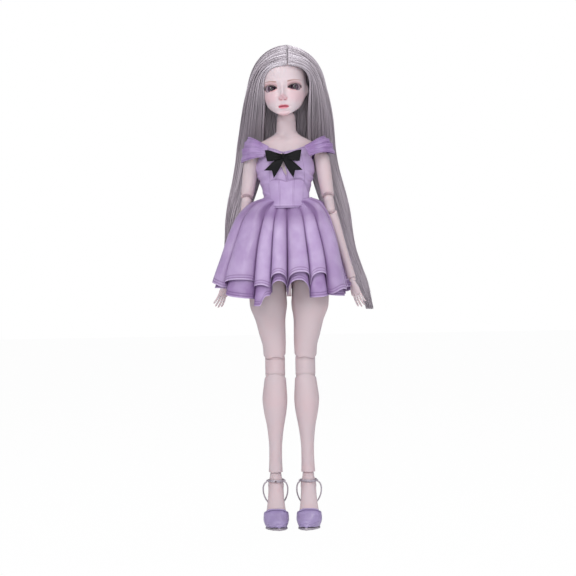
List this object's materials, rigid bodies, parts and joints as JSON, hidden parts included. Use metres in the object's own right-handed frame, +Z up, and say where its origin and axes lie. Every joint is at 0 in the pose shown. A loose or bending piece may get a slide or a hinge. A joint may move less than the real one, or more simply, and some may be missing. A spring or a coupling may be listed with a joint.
{
  "type": "ball jointed doll",
  "caption": "Slender ball jointed doll with long silver hair, in a short pleated satin dress with a bow and pointed high heels, strung on elastic so that it can be posed.",
  "frame": {"origin": "on the floor between the shoes, under the middle of the doll's box", "axes": "+Z up along the doll, -Y the way it faces, +X its own left"},
  "size_m": [0.2014, 0.145, 0.6015],
  "materials": {
    "skin_resin": "matte cast resin, pale pink",
    "hook_steel": "plain steel wire",
    "eye_glass": "glossy dark purple-brown iris on a white ball",
    "silver_hair": "long straight synthetic fibre, silver with a lilac cast",
    "wig_cap_net": "thin stretch net",
    "lilac_satin": "lilac satin with a soft sheen",
    "lilac_lining": "deeper lilac satin and gathered chiffon",
    "black_satin": "black satin ribbon",
    "shoe_lilac": "smooth lilac synthetic leather",
    "shoe_silver": "silver-lilac synthetic leather",
    "white_elastic": "white braided elastic cord"
  },
  "bodies": {
    "pelvis": {"pelvis": "skin_resin", "skirt_outer": "lilac_satin", "skirt_under": "lilac_lining", "leg_elastic": "white_elastic"},
    "abdomen": {"abdomen": "skin_resin"},
    "chest": {"chest": "skin_resin", "bodice": "lilac_satin", "sleeve_left": "lilac_lining", "sleeve_right": "lilac_lining", "bow": "black_satin", "arm_elastic": "white_elastic"},
    "head_hook": {"head_hook": "hook_steel"},
    "head": {"head": "skin_resin", "head_cap": "skin_resin", "eye_left": "eye_glass", "eye_right": "eye_glass", "wig_cap": "wig_cap_net", "hair": "silver_hair"},
    "shoulder_ball_left": {"shoulder_ball_left": "skin_resin"},
    "upper_arm_left": {"upper_arm_left": "skin_resin"},
    "elbow_left": {"elbow_left": "skin_resin"},
    "forearm_left": {"forearm_left": "skin_resin"},
    "wrist_hook_left": {"wrist_hook_left": "hook_steel"},
    "hand_left": {"hand_left": "skin_resin"},
    "hip_ball_left": {"hip_ball_left": "skin_resin"},
    "thigh_left": {"thigh_left": "skin_resin"},
    "knee_left": {"knee_left": "skin_resin"},
    "calf_left": {"calf_left": "skin_resin"},
    "ankle_hook_left": {"ankle_hook_left": "hook_steel"},
    "foot_left": {"foot_left": "skin_resin", "shoe_sole_left": "shoe_silver", "shoe_vamp_left": "shoe_lilac", "ankle_strap_left": "shoe_silver", "side_strap_inner_left": "shoe_silver", "side_strap_outer_left": "shoe_silver"},
    "shoulder_ball_right": {"shoulder_ball_right": "skin_resin"},
    "upper_arm_right": {"upper_arm_right": "skin_resin"},
    "elbow_right": {"elbow_right": "skin_resin"},
    "forearm_right": {"forearm_right": "skin_resin"},
    "wrist_hook_right": {"wrist_hook_right": "hook_steel"},
    "hand_right": {"hand_right": "skin_resin"},
    "hip_ball_right": {"hip_ball_right": "skin_resin"},
    "thigh_right": {"thigh_right": "skin_resin"},
    "knee_right": {"knee_right": "skin_resin"},
    "calf_right": {"calf_right": "skin_resin"},
    "ankle_hook_right": {"ankle_hook_right": "hook_steel"},
    "foot_right": {"foot_right": "skin_resin", "shoe_sole_right": "shoe_silver", "shoe_vamp_right": "shoe_lilac", "ankle_strap_right": "shoe_silver", "side_strap_inner_right": "shoe_silver", "side_strap_outer_right": "shoe_silver"}
  },
  "joints": [
    {"name": "waist_turn", "type": "hinge", "parent": "pelvis", "child": "abdomen", "pos_m": [0, 0.002, 0.37901], "axis": [0, 0, 1], "range_deg": [-25, 25], "deforming": ["bodice"]},
    {"name": "chest_bend", "type": "hinge", "parent": "abdomen", "child": "chest", "pos_m": [0, 0.002, 0.40501], "axis": [1, 0, 0], "range_deg": [-10, 12], "deforming": ["bodice"]},
    {"name": "head_turn", "type": "hinge", "parent": "chest", "child": "head_hook", "pos_m": [0, 0.002, 0.508], "axis": [0, 0, 1], "range_deg": [-45, 60], "deforming": ["hair"]},
    {"name": "head_nod", "type": "hinge", "parent": "head_hook", "child": "head", "pos_m": [0, 0.002, 0.508], "axis": [0.9925, -0.1219, 0], "range_deg": [-10, 10], "deforming": ["hair"]},
    {"name": "arm_swing_left", "type": "hinge", "parent": "chest", "child": "shoulder_ball_left", "pos_m": [0.0415, 0.003, 0.47099], "axis": [-1, 0, 0], "range_deg": [-35, 140], "deforming": ["sleeve_left", "skirt_outer"]},
    {"name": "arm_raise_left", "type": "hinge", "parent": "shoulder_ball_left", "child": "upper_arm_left", "pos_m": [0.0415, 0.003, 0.47099], "axis": [0, -1, 0], "range_deg": [0, 80], "deforming": ["sleeve_left"]},
    {"name": "elbow_upper_left", "type": "hinge", "parent": "upper_arm_left", "child": "elbow_left", "pos_m": [0.0512, -0.00025, 0.407], "axis": [-0.9887, 0, -0.1499], "range_deg": [0, 58], "deforming": ["arm_elastic"]},
    {"name": "elbow_lower_left", "type": "hinge", "parent": "elbow_left", "child": "forearm_left", "pos_m": [0.053, -0.00025, 0.394], "axis": [-0.959, 0, -0.2834], "range_deg": [0, 58], "deforming": ["arm_elastic"]},
    {"name": "wrist_turn_left", "type": "hinge", "parent": "forearm_left", "child": "wrist_hook_left", "pos_m": [0.079, -0.01, 0.30601], "axis": [0.2818, -0.1057, -0.9536], "range_deg": [-60, 60]},
    {"name": "wrist_bend_left", "type": "hinge", "parent": "wrist_hook_left", "child": "hand_left", "pos_m": [0.079, -0.01, 0.30601], "axis": [-0.959, 0, -0.2834], "range_deg": [-30, 30]},
    {"name": "leg_swing_left", "type": "hinge", "parent": "pelvis", "child": "hip_ball_left", "pos_m": [0.0265, 0.002, 0.321], "axis": [-1, 0, 0], "range_deg": [-12, 80], "deforming": ["skirt_outer", "skirt_under", "leg_elastic"]},
    {"name": "leg_spread_left", "type": "hinge", "parent": "hip_ball_left", "child": "thigh_left", "pos_m": [0.0265, 0.002, 0.321], "axis": [0, -1, 0], "range_deg": [0, 30], "deforming": ["skirt_under"]},
    {"name": "knee_upper_left", "type": "hinge", "parent": "thigh_left", "child": "knee_left", "pos_m": [0.0189, 0.002, 0.208], "axis": [1, 0, 0], "range_deg": [0, 58], "deforming": ["leg_elastic"]},
    {"name": "knee_lower_left", "type": "hinge", "parent": "knee_left", "child": "calf_left", "pos_m": [0.0189, 0.002, 0.19], "axis": [1, 0, 0], "range_deg": [0, 58], "deforming": ["leg_elastic"]},
    {"name": "foot_turn_left", "type": "hinge", "parent": "calf_left", "child": "ankle_hook_left", "pos_m": [0.0204, 0.007, 0.062], "axis": [0.0117, 0.039, -0.9992], "range_deg": [-15, 5]},
    {"name": "foot_bend_left", "type": "hinge", "parent": "ankle_hook_left", "child": "foot_left", "pos_m": [0.0204, 0.007, 0.062], "axis": [1, 0, 0], "range_deg": [-20, 20]},
    {"name": "arm_swing_right", "type": "hinge", "parent": "chest", "child": "shoulder_ball_right", "pos_m": [-0.0415, 0.003, 0.47099], "axis": [-1, 0, 0], "range_deg": [-35, 140], "deforming": ["sleeve_right", "skirt_outer"]},
    {"name": "arm_raise_right", "type": "hinge", "parent": "shoulder_ball_right", "child": "upper_arm_right", "pos_m": [-0.0415, 0.003, 0.47099], "axis": [0, 1, 0], "range_deg": [0, 80], "deforming": ["sleeve_right"]},
    {"name": "elbow_upper_right", "type": "hinge", "parent": "upper_arm_right", "child": "elbow_right", "pos_m": [-0.0512, 0.00625, 0.407], "axis": [-0.9887, 0, 0.1499], "range_deg": [0, 58], "deforming": ["arm_elastic"]},
    {"name": "elbow_lower_right", "type": "hinge", "parent": "elbow_right", "child": "forearm_right", "pos_m": [-0.053, 0.00625, 0.394], "axis": [-0.959, 0, 0.2834], "range_deg": [0, 58], "deforming": ["arm_elastic"]},
    {"name": "wrist_turn_right", "type": "hinge", "parent": "forearm_right", "child": "wrist_hook_right", "pos_m": [-0.079, 0.016, 0.30601], "axis": [-0.2818, 0.1057, -0.9536], "range_deg": [-60, 60]},
    {"name": "wrist_bend_right", "type": "hinge", "parent": "wrist_hook_right", "child": "hand_right", "pos_m": [-0.079, 0.016, 0.30601], "axis": [-0.959, 0, 0.2834], "range_deg": [-30, 30]},
    {"name": "leg_swing_right", "type": "hinge", "parent": "pelvis", "child": "hip_ball_right", "pos_m": [-0.0265, 0.002, 0.321], "axis": [-1, 0, 0], "range_deg": [-12, 80], "deforming": ["skirt_outer", "skirt_under", "leg_elastic"]},
    {"name": "leg_spread_right", "type": "hinge", "parent": "hip_ball_right", "child": "thigh_right", "pos_m": [-0.0265, 0.002, 0.321], "axis": [0, 1, 0], "range_deg": [0, 30], "deforming": ["skirt_under"]},
    {"name": "knee_upper_right", "type": "hinge", "parent": "thigh_right", "child": "knee_right", "pos_m": [-0.0189, 0.002, 0.208], "axis": [1, 0, 0], "range_deg": [0, 58], "deforming": ["leg_elastic"]},
    {"name": "knee_lower_right", "type": "hinge", "parent": "knee_right", "child": "calf_right", "pos_m": [-0.0189, 0.002, 0.19], "axis": [1, 0, 0], "range_deg": [0, 58], "deforming": ["leg_elastic"]},
    {"name": "foot_turn_right", "type": "hinge", "parent": "calf_right", "child": "ankle_hook_right", "pos_m": [-0.0204, 0.007, 0.062], "axis": [-0.0117, 0.039, -0.9992], "range_deg": [-5, 15]},
    {"name": "foot_bend_right", "type": "hinge", "parent": "ankle_hook_right", "child": "foot_right", "pos_m": [-0.0204, 0.007, 0.062], "axis": [1, 0, 0], "range_deg": [-20, 20]}
  ]
}
